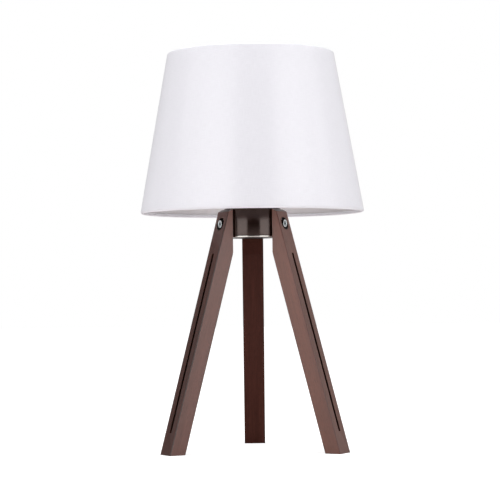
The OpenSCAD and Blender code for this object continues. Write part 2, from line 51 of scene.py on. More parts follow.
# Sizes that the pieces share with the part's source, in mm
HUB_R = 36
HUB_INNER_R = 34
HUB_BOTTOM = 269
HUB_TOP = 304
PLATE_HOLE_R = 5.1
SCREW_Z = 284
FOOT_RADIUS = 127.4
LEG_SLOPE = math.atan((FOOT_RADIUS - 42.2) / 299)
EDGE_R = 2.8
EDGE_BOTTOM = np.array([137.7, 300.8])
EDGE_TOP = np.array([102.7, 497.2])
SLANT = float(np.linalg.norm(EDGE_TOP - EDGE_BOTTOM))
TAPER = math.atan2(EDGE_BOTTOM[0] - EDGE_TOP[0], EDGE_TOP[1] - EDGE_BOTTOM[1])
FABRIC = 0.5
LINER = 0.8
WIRE_R = 1.5
ARM_R = 1.75
ARM_Z = 332.8
SEAM_BEARING = 110
SEAM_WIDTH = 12
BULB_PITCH = 3.63
SLEEVE_PITCH = 2.5

# Where painted shade ends around a leg screw's axis, in mm: the near black in the screw's hole, the
# dark of the screw's knurled side and that of its socket
HOLE_SHADE_R = 7.9
KNURL_R = 4.75
SOCKET_R = 2.6

# The space that holds a leg's groove, in mm: this far from the middle plane, this deep below
# the outer face and this high above the floor
GROOVE_HALF = 3
GROOVE_DEPTH = (0.1, 6)
GROOVE_Z = (24, 250)


# --- Camera ---

def make_camera():
    """The photograph's viewpoint: 2.32 m in front of the lamp and 195 mm above the floor,
    with a long lens, tipped up a little and rolled to halfway between the lean of the
    tripod and that of the shade."""
    data = bpy.data.cameras.new("camera")
    data.sensor_width = 36
    data.lens = 132.67
    data.clip_start, data.clip_end = 0.05, 60
    camera = bpy.data.objects.new("camera", data)
    tip, roll = 0.0244, 0.012
    camera.matrix_world = (
        Matrix.Translation((-0.0035, -2.322, 0.195))
        @ Matrix.Rotation(math.pi / 2 + tip, 4, "X")
        @ Matrix.Rotation(-roll, 4, "Z")
    )
    bpy.context.scene.collection.objects.link(camera)
    bpy.context.scene.camera = camera


# --- Nodes of a material ---

def linear(hex_colour):
    """An sRGB hex colour as linear RGBA: each channel below 0.04045 divided by 12.92,
    the others ((c + 0.055) / 1.055) to the power 2.4."""
    c = np.array([int(hex_colour[i:i + 2], 16) for i in (1, 3, 5)]) / 255
    return (*np.where(c <= 0.04045, c / 12.92, ((c + 0.055) / 1.055) ** 2.4).tolist(), 1.0)


def fill(node, inputs):
    """Gives each of these inputs of a node a value, a hex colour or another node's output."""
    for key, value in dict(inputs).items():
        if isinstance(value, bpy.types.NodeSocket):
            node.id_data.links.new(value, node.inputs[key])
        else:
            node.inputs[key].default_value = linear(value) if isinstance(value, str) else value


def add(tree, kind, inputs=(), output=0, **settings):
    """Adds a node of the type ShaderNode + kind with its settings and its inputs' values or
    links. Returns one of its outputs."""
    made = tree.nodes.new("ShaderNode" + kind)
    for key, value in settings.items():
        setattr(made, key, value)
    fill(made, inputs)
    return made.outputs[output]


# The sockets of a Mix node that mixes colours: its share of the second one, the two
# colours, and its output
SHARE, FIRST, SECOND, COLOUR = 0, 6, 7, 2


def scaled_place(tree, lengths, turn=(0, 0, 0)):
    """Object coordinates, turned, with one unit of pattern per these lengths in mm."""
    here = add(tree, "TexCoord", output="Object")
    turned_place = add(tree, "Mapping", {"Vector": here, "Rotation": turn})
    scale = [1 / (length * MM) for length in lengths]
    return add(tree, "Mapping", {"Vector": turned_place, "Scale": scale})


def off_screw_axis(tree, leg, radius):
    """1 where a point is farther than radius, in mm, from the axis of the leg's screw."""
    bearing = math.radians(LEGS[leg])
    out = (math.cos(bearing), math.sin(bearing), 0)
    here = add(tree, "TexCoord", output="Object")
    from_screw = add(tree, "VectorMath", {0: here, 1: (0, 0, SCREW_Z * MM)},
                     operation="SUBTRACT")
    along = add(tree, "VectorMath", {0: from_screw, 1: out}, operation="PROJECT")
    beside = add(tree, "VectorMath", {0: from_screw, 1: along}, "Value", operation="DISTANCE")
    return add(tree, "Math", {0: beside, 1: radius * MM}, operation="GREATER_THAN")


def seen_by_camera(tree):
    """1 for a ray that the camera sends, also through glass."""
    path = add(tree, "LightPath").node.outputs
    return add(tree, "Math", {0: path["Is Camera Ray"], 1: path["Is Transmission Ray"]},
               operation="MAXIMUM")


# --- Finishes ---

def finish_of(name, inputs=()):
    """A material with one Principled shader that has these inputs.
    Returns the material, its tree and the shader."""
    made = bpy.data.materials.new(name)
    made.use_nodes = True
    shader = made.node_tree.nodes["Principled BSDF"]
    fill(shader, inputs)
    return made, made.node_tree, shader


def clouded(tree, shader, lengths, dark, light, detail=2.0):
    """Gives the shader a colour that wanders between two tones, in patches of these lengths
    in mm. Returns the pattern, 0 to 1."""
    cloud = add(tree, "TexNoise", {"Vector": scaled_place(tree, lengths), "Scale": 1.0,
                                   "Detail": detail})
    tone = add(tree, "Mix", {SHARE: cloud, FIRST: dark, SECOND: light}, COLOUR,
               data_type="RGBA")
    fill(shader, {"Base Color": tone})
    return cloud


# Each leg's wood colours, stain with painted light and shade in them: the sides' dark and light
# bands, those of the outer and inner faces, darker as painted shade on faces turned from the lamps,
# and the eased edges, a rubbed tone made lighter or darker per leg as painted light. The legs also
# differ as
# painted light: the back leg is darkest as painted shade, and the front right leg's outer faces are
# lightest where the lamps on the right are brighter
# Painted light and shade per face and per leg: the outer and inner faces' tones are darker copies
# of the sides' tones
STAIN_AND_PAINTED_SHADE = {
    "front_left": ("#59392f", "#764a3f", "#3b201a", "#532f26", "#2a1610"),
    "front_right": ("#5e382b", "#7c4a3a", "#573d35", "#785349", "#55302a"),
    "back": ("#5f3a31", "#7d4e42", "#3f231d", "#59332b", "#3c2119"),
}
END_GRAIN = "#211410"
# Painted shade: the wood in a leg screw's hole is made almost black
HOLE_PAINTED_SHADE = "#140b08"
PORE = "#24140f"


def wood(leg, lacquered=True):
    """Beech with a dark wenge brown stain under a satin lacquer: a fine straight grain along the
    leg, short dark pores, slow bands of growth, and a soft sheen. The outer and inner faces are
    given a darker colour than the sides, as painted shade on faces turned from the lamps, least on
    the front right leg.
    The end grain took the stain darkest, and the screw's hole is painted almost black as painted
    shade in the recess. Unlacquered, as on the inner faces, the wood is matt."""
    name = ("lacquered_beech_" if lacquered else "matt_beech_") + leg
    gloss = 0.66 if lacquered else 0.06
    made, tree, shader = finish_of(name, {"IOR": 1.5, "Specular IOR Level": gloss})
    lit_face_dark, lit_face_light, shaded_face_dark, shaded_face_light, edge = STAIN_AND_PAINTED_SHADE[leg]
    # Turns the leg upright, with its outer face towards +X, so that the grain runs along Z
    upright = Matrix.Rotation(LEG_SLOPE, 3, "Y") @ Matrix.Rotation(-math.radians(LEGS[leg]), 3, "Z")
    turn = tuple(upright.to_euler("XYZ"))
    shift = LEGS[leg] * 0.37

    def figure(lengths, seed, detail, roughness):
        return add(tree, "TexNoise", {"Vector": scaled_place(tree, lengths, turn), "Scale": 1.0,
                                      "W": shift + seed, "Detail": detail,
                                      "Roughness": roughness}, noise_dimensions="4D")

    grain = figure((0.8, 0.8, 30), 0, 4.0, 0.6)
    pores = figure((0.6, 0.6, 6), 3, 2.0, 0.5)
    bands = figure((10, 10, 160), 7, 3.0, 0.5)
    normal = add(tree, "TexCoord", output="Normal")
    facing = add(tree, "Mapping", {"Vector": normal, "Rotation": turn}, vector_type="VECTOR")
    facing = add(tree, "SeparateXYZ", {0: facing}).node.outputs
    across = add(tree, "Math", {0: facing["X"]}, operation="ABSOLUTE")
    endways = add(tree, "Math", {0: facing["Z"]}, operation="ABSOLUTE")

    # Lit and shaded copies of the wood: the sides as lit, and the outer and inner faces darker as
    # painted shade
    lit_face_tone = add(tree, "Mix", {SHARE: bands, FIRST: lit_face_dark, SECOND: lit_face_light}, COLOUR,
                    data_type="RGBA")
    shaded_face_tone = add(tree, "Mix", {SHARE: bands, FIRST: shaded_face_dark, SECOND: shaded_face_light},
                       COLOUR, data_type="RGBA")
    on_shaded_face = add(tree, "MapRange", {"Value": across, "From Min": 0.55, "From Max": 0.85})
    on_edge = add(tree, "Math", {0: across, 1: math.sqrt(0.5), 2: 0.08}, operation="COMPARE")
    on_end = add(tree, "Math", {0: endways, 1: 0.5}, operation="GREATER_THAN")
    stain_and_shade = lit_face_tone
    for where, stain in ((on_shaded_face, shaded_face_tone), (on_edge, edge), (on_end, END_GRAIN)):
        stain_and_shade = add(tree, "Mix", {SHARE: where, FIRST: stain_and_shade, SECOND: stain}, COLOUR,
                      data_type="RGBA")
    # Painted shade: inside the screw's hole the wood is made almost black
    outside_hole_shade = off_screw_axis(tree, leg, HOLE_SHADE_R)
    stain_and_shade = add(tree, "Mix", {SHARE: outside_hole_shade, FIRST: HOLE_PAINTED_SHADE, SECOND: stain_and_shade}, COLOUR,
                  data_type="RGBA")
    streaks = add(tree, "MapRange", {"Value": grain, "From Min": 0.3, "From Max": 0.7,
                                     "To Min": 0.84, "To Max": 1.14})
    stain_and_shade = add(tree, "Mix", {SHARE: 1.0, FIRST: stain_and_shade, SECOND: streaks}, COLOUR,
                  data_type="RGBA", blend_type="MULTIPLY")
    in_pore = add(tree, "MapRange", {"Value": pores, "From Min": 0.60, "From Max": 0.68,
                                     "To Min": 0.0, "To Max": 0.4})
    stain_and_shade = add(tree, "Mix", {SHARE: in_pore, FIRST: stain_and_shade, SECOND: PORE}, COLOUR,
                  data_type="RGBA")
    rough = add(tree, "MapRange", {"Value": grain, "To Min": 0.27, "To Max": 0.41})
    bump = add(tree, "Bump", {"Height": grain, "Distance": 0.08 * MM, "Strength": 0.4})
    fill(shader, {"Base Color": stain_and_shade, "Roughness": rough, "Normal": bump})
    return made


def groove_wood():
    """The cutter's slot: rough, matt wood with the marks of the cutter along it, painted almost
    black as painted shade in the slot."""
    made, tree, shader = finish_of("groove_painted_shade", {"Roughness": 0.7, "IOR": 1.5,
                                                      "Specular IOR Level": 0.03})
    # Painted shade: the slot's wood is near black to stand for the shade inside it
    fuzz = clouded(tree, shader, (1.5, 1.5, 4), "#1a0a04", "#2c140a", 3.0)
    bump = add(tree, "Bump", {"Height": fuzz, "Distance": 0.1 * MM, "Strength": 0.5})
    fill(shader, {"Normal": bump})
    return made


def painted_metal():
    """Spun steel under a satin brown enamel: a soft bright band wherever a lamp is, and a
    trace of orange peel."""
    made, tree, shader = finish_of("satin_brown_enamel", {
        "Roughness": 0.18, "IOR": 1.5, "Specular Tint": "#f0cdc2", "Specular IOR Level": 0.6,
        "Coat Weight": 0.5, "Coat Roughness": 0.13})
    clouded(tree, shader, (16, 16, 16), "#160a07", "#1d0f0b")
    peel = add(tree, "TexNoise", {"Vector": scaled_place(tree, (1.6, 1.6, 1.6)), "Scale": 1.0})
    bump = add(tree, "Bump", {"Height": peel, "Distance": 0.02 * MM, "Strength": 0.5})
    fill(shader, {"Normal": bump})
    return made


def metal(name, dark, light, roughness, spread, grit):
    """Bare or plated metal: its own colour in the reflections, with fine marks of the tool,
    grit mm apart, and a roughness that wanders by spread."""
    made, tree, shader = finish_of(name, {"Metallic": 1.0})
    patch = clouded(tree, shader, (6, 6, 6), dark, light, 3.0)
    rough = add(tree, "MapRange", {"Value": patch, "From Min": 0.3, "From Max": 0.7,
                                   "To Min": roughness - spread, "To Max": roughness + spread})
    marks = add(tree, "TexNoise", {"Vector": scaled_place(tree, (grit * 12, grit * 12, grit)),
                                   "Scale": 1.0})
    bump = add(tree, "Bump", {"Height": marks, "Distance": grit * 0.05 * MM, "Strength": 0.4})
    fill(shader, {"Roughness": rough, "Normal": bump})
    return made


def screw_metal(leg):
    """Zinc plate, with a darker socket and a near-black knurled side: painted shade where the hole
    and the socket shade them.
    """
    made = metal("zinc_screw_" + leg, "#dde6e8", "#ecf3f4", 0.44, 0.05, 0.25)
    tree = made.node_tree
    shader = tree.nodes["Principled BSDF"]
    plate = shader.inputs["Base Color"].links[0].from_socket
    # Painted shade: the socket is made darker, and the knurled side of the head near black where
    # the hole shades it
    socket_shaded = add(tree, "Mix", {SHARE: off_screw_axis(tree, leg, SOCKET_R), FIRST: "#5c7075",
                              SECOND: plate}, COLOUR, data_type="RGBA")
    knurled = add(tree, "Mix", {SHARE: off_screw_axis(tree, leg, KNURL_R), FIRST: socket_shaded,
                                SECOND: "#2b2624"}, COLOUR, data_type="RGBA")
    fill(shader, {"Base Color": knurled})
    return made


def moulding(name, dark, light, roughness, grain, ior=1.5):
    """A moulded plastic or fired part: an even colour that wanders between two close
    tones, over the fine grain of the mould, in mm."""
    made, tree, shader = finish_of(name, {"Roughness": roughness, "IOR": ior})
    clouded(tree, shader, (9, 9, 9), dark, light, 3.0)
    grit = add(tree, "TexNoise", {"Vector": scaled_place(tree, (grain,) * 3), "Scale": 1.0})
    bump = add(tree, "Bump", {"Height": grit, "Distance": grain * 0.04 * MM, "Strength": 0.6})
    fill(shader, {"Normal": bump})
    return made


def cloth():
    """White polyester satin laminated to the liner: a tight weave whose threads are 0.3 mm
    apart. That is too fine for the render, so they are drawn 0.6 mm apart, up the shade and
    round it, with faint slubs. The face is smooth, with a broad satin gloss."""
    made, tree, shader = finish_of("white_satin_weave", {"Roughness": 0.28, "IOR": 1.55})
    on_cloth = add(tree, "UVMap", uv_map="cloth")

    def threads(along, across):
        scale = (1 / (along * MM), 1 / (across * MM), 1)
        scaled = add(tree, "Mapping", {"Vector": on_cloth, "Scale": scale})
        return add(tree, "TexNoise", {"Vector": scaled, "Scale": 1.0, "Detail": 1.0},
                   noise_dimensions="2D")

    both = add(tree, "Math", {0: threads(9, 0.6), 1: threads(0.6, 12)}, operation="ADD")
    weave = add(tree, "MapRange", {"Value": both, "From Min": 0.6, "From Max": 1.4})
    tone = add(tree, "Mix", {SHARE: weave, FIRST: "#ebebf1", SECOND: "#f1f1f7"}, COLOUR,
               data_type="RGBA")
    bump = add(tree, "Bump", {"Height": weave, "Distance": 0.03 * MM, "Strength": 0.3})
    fill(shader, {"Base Color": tone, "Normal": bump})
    return made


def frosted_glass():
    """Glass whose inside is etched and coated white: the light spreads in it, and its
    outer face keeps a wide gloss."""
    made, tree, shader = finish_of("frosted_glass", {
        "IOR": 1.5, "Transmission Weight": 0.15, "Coat Weight": 0.4, "Coat Roughness": 0.12})
    haze = clouded(tree, shader, (14, 14, 14), "#e9e8e3", "#f4f3ee")
    rough = add(tree, "MapRange", {"Value": haze, "To Min": 0.3, "To Max": 0.45})
    fill(shader, {"Roughness": rough})
    return made


FINISH = {
    "hub_paint": painted_metal(),
    # Nickel plate: bright and faintly yellow, almost a mirror
    "bright_rim": metal("nickel_plate", "#cfccc6", "#dcdad5", 0.16, 0.04, 0.3),
    # ABS with the mould's light spark texture: black, half matt
    "black_plate": moulding("black_abs", "#101010", "#191919", 0.42, 0.4),
    # Passivated zinc: pale, bluish grey, slightly dull
    "zinc": metal("zinc_plate", "#dde4e5", "#ecf1f1", 0.4, 0.06, 0.25),
    # Pressed phenolic resin: near black with a hard gloss
    "holder_black": moulding("black_phenolic", "#121113", "#1c1b1c", 0.28, 0.5, 1.6),
    # Steatite ceramic: cream, unglazed
    "insulating": moulding("cream_steatite", "#ddd6c6", "#e9e4d8", 0.55, 0.3, 1.6),
    # Rolled brass: warm yellow, lightly tarnished
    "contact_brass": metal("rolled_brass", "#b08d4a", "#c9a85e", 0.3, 0.06, 0.2),
    # Powder coat on steel wire: white, with a fine orange peel
    "white_wire": moulding("white_powder_coat", "#e2e2de", "#ecebe8", 0.38, 0.9),
    # Calendered PVC sheet: white, smooth, half matt
    "shade_liner": moulding("white_pvc_sheet", "#f1eff0", "#f6f4f5", 0.45, 1.2, 1.53),
    "shade_fabric": cloth(),
    "bulb_glass": frosted_glass(),
    # Rolled aluminium: pale grey, softly brushed round
    "bulb_cap": metal("rolled_aluminium", "#b9bbbc", "#cccecf", 0.34, 0.05, 0.25),
    # Fused lead glass that fills the foot of the bulb's cap: black, with a hard gloss
    "bulb_black": moulding("black_cap_glass", "#151312", "#201d1b", 0.15, 0.8, 1.6),
    "groove": groove_wood(),
}
FINISH.update({"wood_" + leg: wood(leg) for leg in LEGS})
FINISH.update({"matt_wood_" + leg: wood(leg, lacquered=False) for leg in LEGS})
FINISH.update({"screw_" + leg: screw_metal(leg) for leg in LEGS})


# --- Curves ---

def rise(value, start, width):
    """0 up to start, 1 from start + width on, and a straight line between them."""
    return np.clip((value - start) / width, 0, 1)


def fall(value, end, width):
    """1 up to end - width, 0 from end on, and a straight line between them."""
    return np.clip((end - value) / width, 0, 1)


def wave(phase):
    """0 to 1 and back once a turn: half of 1 + cos of the phase."""
    return 0.5 + 0.5 * np.cos(phase)


def around(sides):
    """The angles of equal steps round a circle."""
    return np.arange(sides) * TAU / sides


def past(angle, bearing):
    """Angles counted from a bearing, from minus half a turn to half a turn."""
    return (angle - math.radians(bearing) + math.pi) % TAU - math.pi


def hexagon(angle, flats):
    """Radius of a hexagon across these flats: half of them over cos of the angle from the
    nearest flat's middle."""
    from_flat = (angle + math.radians(30)) % math.radians(60) - math.radians(30)
    return flats / 2 / np.cos(from_flat)


def thread_wave(height, angle, pitch, low, high, fade=2):
    """A round screw thread, 0 at its root and 1 mm higher at its crest: a wave of the turns
    counted up the axis less the angle, brought to 1 over fade mm at both ends."""
    inside = rise(height, low, fade) * fall(height, high, fade)
    return 1 - (1 - wave(TAU * height / pitch - angle)) * inside


def rounded(corners, radii, steps=5):
    """A closed profile with rounds at its corners. The sides are cut back from a corner by
    radius / tan(half their angle), at most by 0.49 of a side, and an arc joins the cuts."""
    p = np.array(corners, float)
    radius = np.broadcast_to(np.array(radii, float), len(p))
    before, after = np.roll(p, 1, 0) - p, np.roll(p, -1, 0) - p
    side = np.minimum(np.linalg.norm(before, axis=1), np.linalg.norm(after, axis=1))
    u = before / np.linalg.norm(before, axis=1)[:, None]
    v = after / np.linalg.norm(after, axis=1)[:, None]
    half = np.arccos(np.clip((u * v).sum(1), -1, 1)) / 2
    cut = np.minimum(radius / np.tan(half), 0.49 * side)
    middle = u + v
    centre = p + middle / np.linalg.norm(middle, axis=1)[:, None] * (cut / np.cos(half))[:, None]
    start, end = p + u * cut[:, None] - centre, p + v * cut[:, None] - centre
    swing = (math.pi - 2 * half)[:, None, None]
    share = np.linspace(0, 1, steps + 1)[None, :, None]
    from_start, from_end = np.sin((1 - share) * swing), np.sin(share * swing)
    arc = (from_start * start[:, None] + from_end * end[:, None]) / np.sin(swing)
    return (centre[:, None] + arc).reshape(-1, 2)


def dense(profile, step):
    """The closed profile with points added so that no stretch is longer than step."""
    after = np.roll(profile, -1, 0)
    count = np.maximum(1, np.ceil(np.linalg.norm(after - profile, axis=1) / step).astype(int))
    return np.concatenate([a + (b - a) * np.linspace(0, 1, n, endpoint=False)[:, None]
                           for a, b, n in zip(profile, after, count)])


def at_bearing(points, bearing):
    """The points, which are drawn for bearing 0, turned about the lamp's axis."""
    a = math.radians(bearing)
    turn = np.array([[math.cos(a), -math.sin(a), 0], [math.sin(a), math.cos(a), 0], [0, 0, 1]])
    return points @ turn.T


def on_slant(across, along):
    """(radius, height) of a point of the shade's wall: across is measured outwards from the
    line through the centres of both rolled edges, along runs up it from the lower centre."""
    across, along = np.asarray(across, float), np.asarray(along, float)
    return (EDGE_BOTTOM[0] + across * math.cos(TAPER) - along * math.sin(TAPER),
            EDGE_BOTTOM[1] + across * math.sin(TAPER) + along * math.cos(TAPER))


# --- Meshes ---

def smoothed(mesh, sharp):
    """Merges points that fall together and shades smooth up to that angle, in degrees."""
    work = bmesh.new()
    work.from_mesh(mesh)
    bmesh.ops.remove_doubles(work, verts=work.verts, dist=1e-7)
    work.to_mesh(mesh)
    work.free()
    mesh.polygons.foreach_set("use_smooth", np.ones(len(mesh.polygons), bool))
    mesh.set_sharp_from_angle(angle=math.radians(sharp))
    return mesh


def surface(name, points, wrap=(True, True), uv=None, sharp=35):
    """A mesh over a grid of points in mm: one quad between each four neighbours, with the
    rows and the columns closed on themselves where wrap says so. Points that fall together,
    as at a pole, are merged. The quads are turned round where the volume, the sum of
    a . (b x c) over their halves, is negative. uv gives the columns' and rows' places in
    metres."""
    rows, columns = points.shape[:2]
    i, j = np.meshgrid(np.arange(rows if wrap[0] else rows - 1),
                       np.arange(columns if wrap[1] else columns - 1), indexing="ij")
    row = np.stack([i, i, i + 1, i + 1], -1).reshape(-1, 4)
    column = np.stack([j, j + 1, j + 1, j], -1).reshape(-1, 4)
    flat = points.reshape(-1, 3) * MM
    faces = (row % rows) * columns + column % columns
    a, b, c, d = (flat[faces[:, k]] for k in range(4))
    if (a * (np.cross(b, c) + np.cross(c, d))).sum() < 0:
        row, column, faces = row[:, ::-1], column[:, ::-1], faces[:, ::-1]
    mesh = bpy.data.meshes.new(name)
    mesh.from_pydata(flat.tolist(), [], faces.tolist())
    if uv is not None:
        corners = np.stack([uv[0][column], uv[1][row]], -1).astype(np.float32)
        mesh.uv_layers.new(name="cloth").data.foreach_set("uv", corners.ravel())
    return smoothed(mesh, sharp)


def turned(name, profile, sides=240, relief=None, loop=True):
    """A solid of revolution about the lamp's axis: each (radius, height) of the profile on
    a circle. relief(radius, height, angle) is added to the radius."""
    angle = around(sides)
    radius = np.repeat(profile[:, :1], sides, 1)
    height = np.repeat(profile[:, 1:], sides, 1)
    if relief is not None:
        radius = radius + relief(radius, height, angle[None, :])
    points = np.stack([radius * np.cos(angle), radius * np.sin(angle), height], -1)
    return surface(name, points, (loop, True))


def swept(name, route, radius, across, sides=24):
    """A round wire along a flat route: about each point a circle of its radius, in the
    plane of the route's normal and the direction across the route's plane."""
    tangent = np.gradient(route, axis=0)
    tangent /= np.linalg.norm(tangent, axis=1)[:, None]
    side = np.broadcast_to(np.array(across, float), route.shape)
    out = np.cross(tangent, side)
    angle = around(sides)[None, :, None]
    size = np.broadcast_to(np.array(radius, float), len(route))[:, None, None]
    points = route[:, None] + size * (out[:, None] * np.cos(angle) + side[:, None] * np.sin(angle))
    return surface(name, points, (False, True))


def place(name, mesh, body, slot, *stands_for, finish=None):
    """Puts a finished mesh in the scene on its body, with the finish named by finish or else by
    slot, and hides the CAD nodes that it stands for."""
    thing = bpy.data.objects.new(name, mesh)
    bpy.context.scene.collection.objects.link(thing)
    mesh.materials.clear()
    mesh.materials.append(FINISH[finish or slot])
    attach(thing, body)
    if stands_for:
        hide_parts(*stands_for)
    return thing


# --- Tripod ---

def one_skin(node):
    """A copy of a node's mesh as one skin: its loose triangles merged and its flat faces
    made whole."""
    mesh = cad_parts[node].data.copy()
    for name in [a.name for a in mesh.attributes if a.name == "custom_normal"]:
        mesh.attributes.remove(mesh.attributes[name])
    work = bmesh.new()
    work.from_mesh(mesh)
    bmesh.ops.remove_doubles(work, verts=work.verts, dist=2e-6)
    bmesh.ops.dissolve_limit(work, angle_limit=math.radians(0.5), verts=work.verts,
                             edges=work.edges)
    work.to_mesh(mesh)
    work.free()
    return smoothed(mesh, 30)


def of_polygons(mesh, attribute):
    """A vector attribute of each polygon, one row each."""
    values = np.empty(3 * len(mesh.polygons))
    mesh.polygons.foreach_get(attribute, values)
    return values.reshape(-1, 3)


def make_legs():
    """The three legs, with their arrises rubbed round. The faces whose normal points to the
    lamp's axis are matt. The groove's faces are those whose centres lie less than 3 mm from
    the leg's middle plane, below its outer face by 0.1 to 6 mm, and between the groove's ends."""
    for leg, bearing in LEGS.items():
        node = "leg_" + leg
        mesh = one_skin(node)
        thing = place("grooved_" + node, mesh, "stand", "leg_wood", node, finish="wood_" + leg)
        mesh.materials.append(FINISH["matt_wood_" + leg])
        mesh.materials.append(FINISH["groove"])
        outward = at_bearing(np.array([1.0, 0, 0]), bearing)
        faces_axis = -of_polygons(mesh, "normal") @ outward > 0.6
        x, y, z = (at_bearing(of_polygons(mesh, "center"), -bearing) / MM).T
        depth = (FOOT_RADIUS - x) * math.cos(LEG_SLOPE) - z * math.sin(LEG_SLOPE)
        in_groove = ((abs(y) < GROOVE_HALF)
                     & (depth > GROOVE_DEPTH[0]) & (depth < GROOVE_DEPTH[1])
                     & (z > GROOVE_Z[0]) & (z < GROOVE_Z[1]))
        index = np.where(in_groove, 2, np.where(faces_axis, 1, 0))
        mesh.polygons.foreach_set("material_index", index.astype(np.int32))
        bevel = thing.modifiers.new("rubbed edges", "BEVEL")
        bevel.width = 0.35 * MM
        bevel.segments = 2
        bevel.limit_method = "ANGLE"
        bevel.angle_limit = math.radians(25)
        # Closes the faces without an area that the bevel leaves at the ends of the knee
        weld = thing.modifiers.new("one skin", "WELD")
        weld.merge_threshold = 0.001 * MM


def about_screw_axis(x, radius, angle):
    """Points at these places along a screw's axis and these radii and angles round it."""
    x, y, z = np.broadcast_arrays(x, radius * np.cos(angle), SCREW_Z + radius * np.sin(angle))
    return np.stack([x, y, z], -1)


def make_screws():
    """Socket cap screws and their washers. A screw has a knurled head with a rounded rim, a
    hexagon socket with a coned mouth and a pointed floor, and its shank. Each row of its grid
    is a ring about its axis: (place on the axis, radius, share of the hexagon, knurl depth)."""
    shank, seat, head, top, floor = 25.4, 39.8, 41.4, 47.4, 44.4
    knurls, steps = 36, 6
    rings = [(shank, 0, 0, 0), (shank, 2.4, 0, 0), (26.0, 3.0, 0, 0), (head - 0.6, 3.0, 0, 0),
             (head, 3.2, 0, 0), (head, 4.6, 0, 0), (head + 0.3, 4.95, 0, 0),
             (head + 0.7, 5.0, 0, 0.16), (top - 1.3, 5.0, 0, 0.16), (top - 0.8, 5.0, 0, 0),
             (top - 0.35, 4.85, 0, 0), (top - 0.1, 4.6, 0, 0), (top, 4.2, 0, 0),
             (top, 3.15, 0, 0), (top - 0.35, 2.75, 0.5, 0), (top - 0.5, 2.5, 1, 0),
             (floor, 2.5, 1, 0), (floor - 0.05, 2.2, 1, 0), (floor - 0.9, 0, 0, 0)]
    x, r, share, knurl = (np.array(column, float)[:, None] for column in zip(*rings))
    angle = around(knurls * steps)[None, :]
    radius = r * (1 - share) + share * hexagon(angle, 2 * r)
    radius = radius - knurl * (np.arange(knurls * steps) % steps >= steps // 2)
    screw = about_screw_axis(x, radius, angle)
    section = rounded([(seat, 3.1), (head, 3.1), (head, 6.0), (seat, 6.0)], (0.1, 0.1, 0.35, 0.2))
    washer = about_screw_axis(section[:, :1], section[:, 1:], around(96)[None, :])
    for leg, bearing in LEGS.items():
        name = "cap_screw_" + leg
        place(name, surface(name, at_bearing(screw, bearing), (False, True)), "stand", "zinc",
              "leg_screws", finish="screw_" + leg)
        name = "washer_" + leg
        place(name, surface(name, at_bearing(washer, bearing)), "stand", "zinc", "leg_washers")


def make_hub():
    """The spun hub, its nickel rim, and the black plate and gland that close it."""
    hub = rounded([(PLATE_HOLE_R, HUB_TOP), (HUB_R, HUB_TOP), (HUB_R, HUB_BOTTOM),
                   (HUB_INNER_R, HUB_BOTTOM), (HUB_INNER_R, 301), (PLATE_HOLE_R, 301)],
                  (0.2, 1.5, 0.35, 0.2, 1.0, 0.2))
    place("spun_hub", turned("spun_hub", hub, 288), "stand", "hub_paint", "hub")

    # The heights of these three count from the hub's lower edge
    down = (0, HUB_BOTTOM)
    rim = rounded([(31, -2.2), (35.7, -2.2), (35.7, 0), (33.9, 0), (33.9, 4), (32.3, 4),
                   (32.3, 0), (31, 0)], (0.5, 1.05, 0.6, 0.1, 0.3, 0.3, 0.1, 0.2)) + down
    place("nickel_rim", turned("nickel_rim", rim, 288), "stand", "bright_rim", "hub_rim")
    plate = rounded([(PLATE_HOLE_R, -0.6), (8.6, -0.6), (8.6, -2.6), (15.5, -2.6),
                     (30.9, -2.25), (30.9, 0), (32.2, 0), (32.2, 1.5), (PLATE_HOLE_R, 1.5)],
                    (0.1, 0.1, 0.3, 12, 0.5, 0.1, 0.2, 0.2, 0.2)) + down
    place("base_plate", turned("base_plate", plate), "stand", "black_plate", "hub_plate")
    gland = rounded([(3.2, -2.6), (8.5, -2.6), (8.5, -0.6), (5, -0.6), (5, 7), (3.2, 7)],
                    (0.8, 0.5, 0.1, 0.1, 0.3, 0.3)) + down
    place("flex_gland", turned("flex_gland", gland, 96), "stand", "black_plate", "cord_gland")


# --- Lampholder ---

def make_cap():
    """The lampholder's cap: a neck under a dome of radius 19 whose wall is 3 mm."""
    foot_z, dome_z, dome_r, wall = 304, 323, 19, 3
    arc = np.radians(np.linspace(-52.5, 0, 24))
    dome = np.stack([dome_r * np.cos(arc), dome_z + dome_r * np.sin(arc)], 1)
    inner_r = dome_r - wall
    inner = np.stack([inner_r * np.cos(arc[::-1]), dome_z + inner_r * np.sin(arc[::-1])], 1)
    cap = np.concatenate([
        [(5.05, foot_z), (10.7, foot_z), (11, 304.3), (11, 307)], dome[1:],
        [(18.9, 323.2), (17.5, 323.2), (17.5, 329), (inner_r, 329)], inner,
        [(7, 312), (5.05, 312)]])
    place("holder_dome", turned("holder_dome", cap), "stand", "holder_black", "holder_cap")


def make_body():
    """The lampholder's body: a threaded sleeve above a collar and a skirt of 48 flutes."""
    body = dense(rounded([(20.5, 323.3), (20.5, 329), (23.5, 329), (23.5, 333), (19.6, 333),
                          (19.6, 364), (15.1, 364), (15.1, 339), (17.0, 339), (17.0, 329),
                          (17.6, 329), (17.6, 323.3)],
                         (0.8, 0.5, 0.8, 0.8, 0.3, 0.8, 0.8, 0.2, 0.2, 0.1, 0.1, 0.3)), 0.42)

    def relief(radius, height, angle):
        thread = thread_wave(height, angle, SLEEVE_PITCH, 334, 362.5) - 1
        flutes = -0.45 * wave(48 * angle) * rise(height, 324, 0.8)
        on_sleeve = rise(radius, 18.2, 0.6) * (height > 333.4)
        on_skirt = fall(height, 329.0, 0.5) * rise(radius, 19.6, 0.5)
        return thread * on_sleeve + flutes * on_skirt

    place("threaded_body", turned("threaded_body", body, 336, relief), "stand", "holder_black",
          "holder_body")


